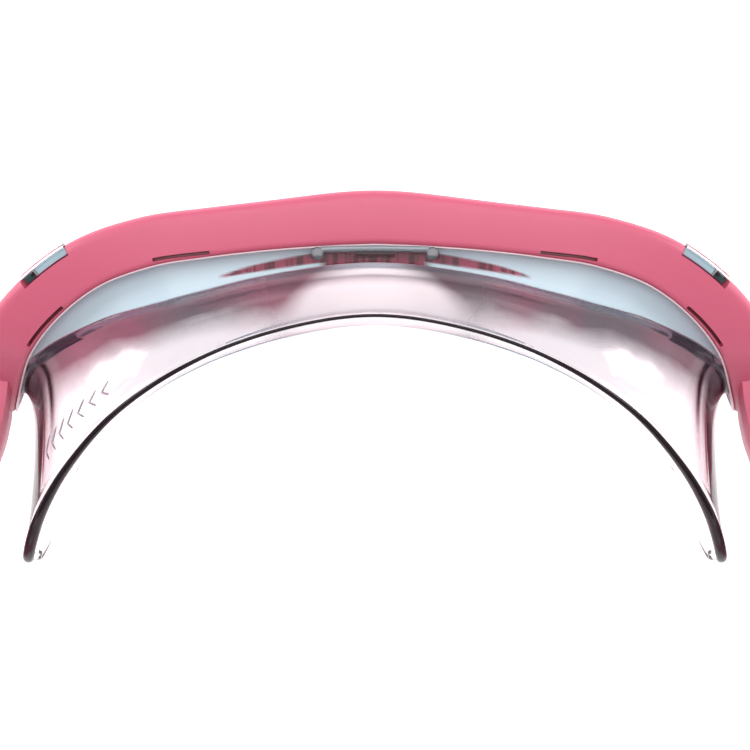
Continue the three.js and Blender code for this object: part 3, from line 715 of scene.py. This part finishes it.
sealSizes = {
    "rows": 20, "lipSteps": 7, "neckIn": 2.8, "neckMost": 4.5, "neckShare": 0.35, "lipWall": 0.9,
    "noseMiddle": 27, "noseHalf": 15.5, "noseLong": 10.5,  # kept clear of painted shade
    "paintedShadeReach": ((0, 20, 32, 50, 72), (0.95, 0.95, 0.66, 0.5, 0.5)),  # across, share of flare
    "beadMiddle": 0.29, "beadTemple": 1.0, "beadReach": 0.203, "beadStations": 301,
    "beadBack": 1.1, "beadIn": 0.8, "templeX": 72,
    "marks": 7, "markFrom": 0.098, "markStep": 0.0072, "markPoint": 0.0042, "markSteps": 13,
    "markRows": (0.72, 0.86), "markRadius": 0.22,
}


def sealFlare(shares):
    at, _, _ = outlineAt(shares)
    front = at[..., 2] + 2 * mask["clearance"] + mask["carrierDepth"]
    inset = mask["lensInset"] + 0.3
    start = ringPoint(shares, inset, front + mask["sealWall"] + 0.3)
    inward = ringPoint(shares, inset + 1, front) - ringPoint(shares, inset, front)
    deeper = ringPoint(shares, inset, front + 1) - ringPoint(shares, inset, front)
    end = splineAt(facePoints, True, shares)
    gap = np.linalg.norm(end - start, axis=-1)
    pinch = np.minimum(sealSizes["neckShare"] * gap, sealSizes["neckMost"])[..., None]
    neck = sealSizes["neckIn"] * (1 - 1.8 * np.clip((np.abs(end[..., :1]) - 52) / 18, 0, 1))
    middle = start + inward * neck + deeper * pinch
    t = np.linspace(0, 1, sealSizes["rows"] + 1)[:, None, None]
    flare = (1 - t) ** 2 * start + 2 * t * (1 - t) * middle + t**2 * end
    return front, np.moveaxis(flare, 0, 1)  # stations, rows, xyz


def sealNormals(flare):
    along = np.gradient(flare, axis=1)
    across = np.roll(flare, -1, axis=0) - np.roll(flare, 1, axis=0)
    along /= np.linalg.norm(along, axis=-1, keepdims=True)
    inward = np.cross(along, across)
    return along, inward / np.linalg.norm(inward, axis=-1, keepdims=True)


def makeSeal():
    size = sealSizes
    front, flare = sealFlare(allShares)
    along, inward = sealNormals(flare)
    rows = size["rows"]
    t = np.linspace(0, 1, rows + 1)
    wall = mask["sealWall"] + (size["lipWall"] - mask["sealWall"]) * t**2
    inner = flare + inward * wall[None, :, None]
    rim, back, into = flare[:, -1], along[:, -1], inward[:, -1]
    lip = lambda rearward, in_: rim + back * rearward + into * in_
    a = np.linspace(0, math.pi / 2, size["lipSteps"] + 1)[1:]
    curlOut = [lip(1.2 * math.sin(t), 1.8 * (1 - math.cos(t))) for t in a]
    curlIn = [lip(0.45 * math.sin(t), 0.95 + 0.95 * (1 - math.cos(t))) for t in a[::-1]]
    tip = [lip(1.15, 2.7), lip(0.9, 3.5), lip(0.5, 3.6), lip(0.3, 3.1), lip(0.4, 2.4)]
    outer, flange = mask["lensInset"] + 0.1, mask["sealFlange"] - 0.6
    front = front - 0.25
    edge = lambda n, v: ringPoint(allShares, n, v)
    ring = [edge(outer + 0.2, front), edge(outer, front + 0.2),
            edge(outer, front + mask["sealWall"] - 0.2)]
    ring += [flare[:, j] for j in range(rows + 1)]
    ring += curlOut + tip + curlIn
    ring += [inner[:, j] for j in range(rows, -1, -1)]
    ring += [edge(outer + flange, front + 0.4), edge(outer + flange - 0.3, front)]
    grid = np.stack(ring, axis=1)
    grid[..., 2] = np.maximum(grid[..., 2], 0)
    share = np.concatenate([np.zeros(3), t, np.ones(len(curlOut + tip + curlIn)), t[::-1],
                            np.zeros(2)])
    # where shade is painted on the seal: strongest at the neck, fading along the flare, held off
    # the roof over the nose and fainter low down
    reachOut = np.interp(np.abs(rim[:, 0]), *size["paintedShadeReach"])
    paintedShadeShare = np.clip(1.25 - share[None, :] / reachOut[:, None], 0, 1)
    dome = np.hypot(grid[..., 0] / size["noseHalf"],
                    (grid[..., 1] - size["noseMiddle"]) / size["noseLong"])
    paintedShadeShare = paintedShadeShare * np.clip((dome - 0.95) * 3, 0.04, 1) * np.clip((grid[..., 2] - 22) / 18, 0.1, 1)
    body = lofted("seal", grid, carried=paintedShadeShare)
    return finished(body, "sealSkirt", "mask", "clearSoft", ["face_seal"], 50)


def makeRimBead():
    # a dark rolled edge along the rim, fuller towards the temples
    size = sealSizes
    count = size["beadStations"]
    shares = np.linspace(-size["beadReach"], size["beadReach"], count)
    _, flare = sealFlare(shares)
    along = np.gradient(flare, axis=1)[:, -1]
    along /= np.linalg.norm(along, axis=-1, keepdims=True)
    into = np.cross(along, np.gradient(flare[:, -1], axis=0))
    into /= np.linalg.norm(into, axis=-1, keepdims=True)
    rim = flare[:, -1]
    ends = np.sqrt(np.clip(1 - np.linspace(-1, 1, count) ** 16, 0.02, 1))[:, None]
    temple = np.clip(np.abs(rim[:, :1]) / size["templeX"], 0, 1) ** 3
    radius = (size["beadMiddle"] + (size["beadTemple"] - size["beadMiddle"]) * temple) * ends
    centre = rim + along * size["beadBack"] + into * size["beadIn"]
    ring = [centre + radius * (math.cos(a) * along + math.sin(a) * into * 1.3)
            for a in np.linspace(0, 2 * math.pi, 13)[:-1]]
    body = lofted("bead", np.stack(ring, axis=1), loop=False)
    return finished(body, "sealRimBead", "mask", "sealRim", ["face_seal"], 60)


def makeSealMarks():
    # a row of raised chevrons by the wearer's left temple
    size = sealSizes
    shares = np.linspace(0.08, 0.17, 400)
    _, flare = sealFlare(shares)
    rowPlace = np.linspace(0, 1, size["rows"] + 1)

    def onSeal(share, row):
        k = int(np.abs(shares - share).argmin())
        return np.array([np.interp(row, rowPlace, flare[k][:, c]) for c in range(3)])

    spread = np.linspace(-1, 1, size["markSteps"])
    taper = np.sqrt(np.clip(1 - spread**4, 0.05, 1))[:, None]
    pieces = []
    for mark in range(size["marks"]):
        start = size["markFrom"] + mark * size["markStep"]
        low, high = size["markRows"]
        middle = (low + high) / 2
        path = np.array([onSeal(start + size["markPoint"] * (1 - abs(k)),
                                middle + k * (high - low) / 2) for k in spread])
        along = np.gradient(path, axis=0)
        along /= np.linalg.norm(along, axis=1, keepdims=True)
        out = np.cross(along, onSeal(start + 0.004, middle) - onSeal(start - 0.004, middle))
        out /= np.linalg.norm(out, axis=1, keepdims=True)
        side = np.cross(along, out)
        rings = [path + size["markRadius"] * taper * (math.cos(a) * out + math.sin(a) * side)
                 for a in np.linspace(0, 2 * math.pi, 9)[:-1]]
        pieces.append(lofted("mark", np.stack(rings, axis=1), loop=False))
    activate(pieces[0])
    for piece in pieces[1:]:
        piece.select_set(True)
    bpy.ops.object.join()
    return finished(pieces[0], "sealMarks", "mask", "sealMark", None, 60)


makeCarrier()
makeSeal()
makeRimBead()
makeSealMarks()
print("seal made")


clipSizes = {
    "barHalf": 11.4, "thick": 1.3, "tongueHalf": 4, "shadeHalf": 11.2, "inset": 0.9,
    "knobAt": 12.2, "knobBack": 1.45, "knobRadius": 1.35, "knobEdge": 0.35,
}


def makeBridgeClip():
    size = clipSizes
    front = mask["depthMiddle"] + mask["clearance"]
    low = mask["lensInset"] - size["inset"]
    back = front + size["thick"]
    along = lambda half, count: np.linspace(topShare(-half), topShare(half), count)
    body = swept("bar", [(0.7, front, 0.5), (low, front, 0.5), (low, back, 0.5),
                         (0.7, back, 0.6)], along(size["barHalf"], 60), loop=False)
    tongue = swept("tongue", [(2.2, front + 1.35, 0.1), (low - 0.05, front + 1.35, 0.1),
                              (low - 0.05, front + 2.5, 0.4), (2.2, front + 2.2, 0.4)],
                   along(size["tongueHalf"], 20), loop=False)
    knobs = []
    for side in sides.values():
        at = wrap(side * size["knobAt"], front + size["knobBack"], 0)
        knob = disc("knob", size["knobRadius"], top - low + 0.2, top - 0.3, at, axis="Z")
        knobs.append(softened(knob, size["knobEdge"], 3))
    finished(tongue, "bridgeTongue", "mask", "tongueShade", ["bridge_clip"], 40)
    shade = swept("shade", [(1.0, front + 1.33, 0.05), (low - 0.1, front + 1.33, 0.05),
                            (low - 0.1, front + 1.62, 0.1), (1.0, front + 1.55, 0.1)],
                  along(size["shadeHalf"], 60), loop=False)
    finished(shade, "bridgeShade", "mask", "tongueShade", ["bridge_clip"], 40)
    activate(knobs[0])
    knobs[1].select_set(True)
    bpy.ops.object.join()
    finished(knobs[0], "bridgeKnobs", "mask", "knobGloss", ["bridge_clip"], 40)
    return finished(body, "bridgeBar", "mask", "clipGloss", ["bridge_clip"], 40)


makeBridgeClip()


latchSizes = {"top": 0.75}


def makeTempleLatch(name, side):
    size, level = frameSizes, latchSizes["top"]
    u0 = size["windowStart"] + mask["clearance"]
    u1 = size["windowStart"] + size["windowLength"] - mask["clearance"]
    split = u0 + size["latchBlock"]
    low, deep = size["windowDrop"] - 0.3, size["windowDepth"] - 0.3
    block = topBlock("block", u0, split, 1.0, low, level, deep, 0.25, side=side)
    # the deep pocket floor: teal darkened with painted shade
    floor = topBlock("floor", split + 0.05, u1, 2.4, low, level, deep, 0.2, side=side)
    fence = topBlock("fence", u0, u1, 0.5, low, -0.1, 0.7, 0.2, side=side)
    node = [f"temple_latch_{name}"]
    finished(softened(block, 0.2), f"latchBlock_{name}", "mask", "latchBlue", node)
    finished(floor, f"shadedLatchFloor_{name}", "mask", "shadedLatchFloor", node)
    finished(fence, f"latchFence_{name}", "mask", "clearHard", node)
    # a black block filling the hole: painted shade
    hole = topBlock("hole", split + 0.1, split + 1.5, 1.3, 2.35, 0.8, 1.7, 0.3, side=side)
    finished(hole, f"latchHole_{name}", "mask", "holePaintedShade", node)
    post = topBlock("post", split - 0.02, split + 0.42, 0.9, 2.5, 0.78, deep, 0.12, side=side)
    finished(post, f"latchPost_{name}", "mask", "pinSteel", node)


for name, side in sides.items():
    makeTempleLatch(name, side)
print("clip and latches made")


def easedCopy(node, name, body, finish, width):
    # a CAD shape with its edges eased
    deselectAll()
    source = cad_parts[node]
    mesh = source.data.copy()
    mesh.transform(source.matrix_world)
    piece = bpy.data.objects.new(name, mesh)
    bpy.context.collection.objects.link(piece)
    activate(piece)
    bpy.ops.object.mode_set(mode="EDIT")
    bpy.ops.mesh.select_all(action="SELECT")
    bpy.ops.mesh.remove_doubles(threshold=2e-6)
    bpy.ops.mesh.dissolve_limited(angle_limit=math.radians(2))
    bpy.ops.object.mode_set(mode="OBJECT")
    softened(piece, width, 3, angle=28)
    return finished(piece, name, body, finish, [node])


hardware = {  # name, body, slot, finish and width of the eased edge
    "swivel_pin": ("swivelPin", "mask", "pin_steel", "pinSteel", 0.35),
    "clip_body": ("buckle", "strap", "frame_pink", "bucklePink", 0.45),
    "release_lever": ("lever", "lever", "strap_pink", "leverPink", 0.3),
    "lever_pin": ("leverPin", "strap", "pin_steel", "pinSteel", 0.12),
    "lever_spring": ("leverSpring", "strap", "pin_steel", "pinSteel", 0.12),
    "strap_roller": ("roller", "roller", "clear_hard", "clearHard", 0.2),
    "roller_pin": ("rollerPin", "strap", "pin_steel", "pinSteel", 0.12),
    "strap_keeper": ("keeper", "keeper", "strap_pink", "leverPink", 0.35),
}
for name in sides:
    for node, (made, body, slot, finish, width) in hardware.items():
        rides = body if body in ("mask", "strap") else f"{body}_{name}"
        easedCopy(f"{node}_{name}", f"{made}_{name}", rides, finish, width)
print("hardware made")


strapSizes = {
    "thick": 2, "width": 16, "backWidth": 44, "slot": 15, "straight": 66, "loopDepth": 70,
    "tail": 56, "rollerX": 91.0, "rollerY": 20, "radius": 3.5, "loopSteps": 90,
    "tailRows": 20, "turnRows": 17, "straightRows": 24, "edge": 0.55,
}


def strapLine():
    size = strapSizes
    rows = []
    outer = size["rollerX"] + size["radius"]
    for y in np.linspace(size["tail"], size["rollerY"], size["tailRows"]):
        rows.append((outer, y, 0, -1, 0))
    for angle in np.linspace(0, math.pi, size["turnRows"])[1:]:
        rows.append((size["rollerX"] + size["radius"] * math.cos(angle),
                     size["rollerY"] - size["radius"] * math.sin(angle),
                     -math.sin(angle), -math.cos(angle), 0))
    half = size["rollerX"] - size["radius"]
    for y in np.linspace(size["rollerY"], size["straight"], size["straightRows"])[1:-1]:
        rows.append((half, y, 0, 1, 0))
    for share in np.linspace(0, 1, size["loopSteps"]):
        angle = share * math.pi / 2
        dx, dy = -half * math.sin(angle), size["loopDepth"] * math.cos(angle)
        length = math.hypot(dx, dy)
        rows.append((half * math.cos(angle), size["straight"] + size["loopDepth"] * math.sin(angle),
                     dx / length, dy / length, share))
    back = [(-x, y, dx, -dy, share) for x, y, dx, dy, share in rows[-2::-1]]
    return np.array(rows + back)


def eased(share, low, high):
    t = np.clip((share - low) / (high - low), 0, 1)
    return t**3 * (t * (6 * t - 15) + 10)


def strip(name, line, thick, half, corner):
    x, y, dx, dy, share = line.T
    rings = []
    halfWidth = half(share)
    section = rounded([(-thick / 2, -1, corner), (-thick / 2, 1, corner),
                       (thick / 2, 1, corner), (thick / 2, -1, corner)], 3)
    for k in range(len(line)):
        side = section[:, 0]
        level = np.sign(section[:, 1]) * (halfWidth[k] - (1 - np.abs(section[:, 1])))
        rings.append(np.stack([x[k] + dy[k] * side, y[k] - dx[k] * side, level], -1))
    return lofted(name, rings, loop=False)


def makeStrap():
    size = strapSizes
    line = strapLine()
    half = lambda share: size["width"] / 2 + (
        size["backWidth"] - size["width"]) / 2 * eased(share, 0.1, 0.8)
    slotHalf = lambda share: np.maximum(size["slot"] / 2 * eased(share, 0.35, 0.85), 0.3)
    body = strip("strap", line, size["thick"], half, size["edge"])
    booled(body, [strip("slot", line[line[:, 4] > 0.4], size["thick"] + 3, slotHalf, 0)],
           "DIFFERENCE")
    reachBack = size["straight"] + size["loopDepth"] + size["thick"] / 2
    span = math.hypot(size["backWidth"] / 2, reachBack)
    pivotHeight = frameSizes["pivotHeight"]
    droop = math.asin(pivotHeight / span) - math.atan2(size["backWidth"] / 2, reachBack)
    pivot = Vector((0, frontY + frameSizes["pivotDepth"] * mm, pivotHeight * mm))
    body.data.transform(Matrix.Translation(Vector((0, -frontY, 0))))
    body.data.transform(Matrix.Translation(pivot) @ Matrix.Rotation(-droop, 4, "X"))
    return finished(body, "headStrap", "strap", "strapPink", ["head_strap"], 40)


makeStrap()
print("strap made")


def makeStudio():
    deselectAll()
    bpy.ops.mesh.primitive_plane_add(size=studio["floorSize"], location=(0, 0, 0))
    floor = bpy.context.object
    floor.name = "floor"
    finish = Finish("floorPale")
    finish.set(colour=studio["floorColour"], rough=0.8, specular=0.1,
               glow=(1, 1, 1, 1), glowPower=studio["floorGlow"])
    floor.data.materials.append(finish.material)
    world = bpy.data.worlds.new("studio")
    bpy.context.scene.world = world
    world.use_nodes = True
    tree = world.node_tree
    sky = tree.nodes["Background"]
    place = tree.nodes.new("ShaderNodeTexCoord")
    split = tree.nodes.new("ShaderNodeSeparateXYZ")
    ramp = tree.nodes.new("ShaderNodeValToRGB")
    tree.links.new(place.outputs["Generated"], split.inputs[0])
    tree.links.new(split.outputs["Z"], ramp.inputs[0])
    tree.links.new(ramp.outputs[0], sky.inputs["Color"])
    for stop, key in zip(ramp.color_ramp.elements, ("skyLow", "skyHigh")):
        stop.position, stop.color = studio[key]
    sky.inputs["Strength"].default_value = studio["skyStrength"]
    for name, (place, size, power) in studio["lamps"].items():
        lamp = bpy.data.lights.new(name, "AREA")
        lamp.size = size
        lamp.energy = power
        holder = bpy.data.objects.new(name, lamp)
        bpy.context.collection.objects.link(holder)
        holder.location = place
        holder.rotation_euler = (-Vector(place)).to_track_quat("-Z", "Y").to_euler()
    bpy.context.scene.view_settings.view_transform = "Standard"


makeStudio()
print("studio made")
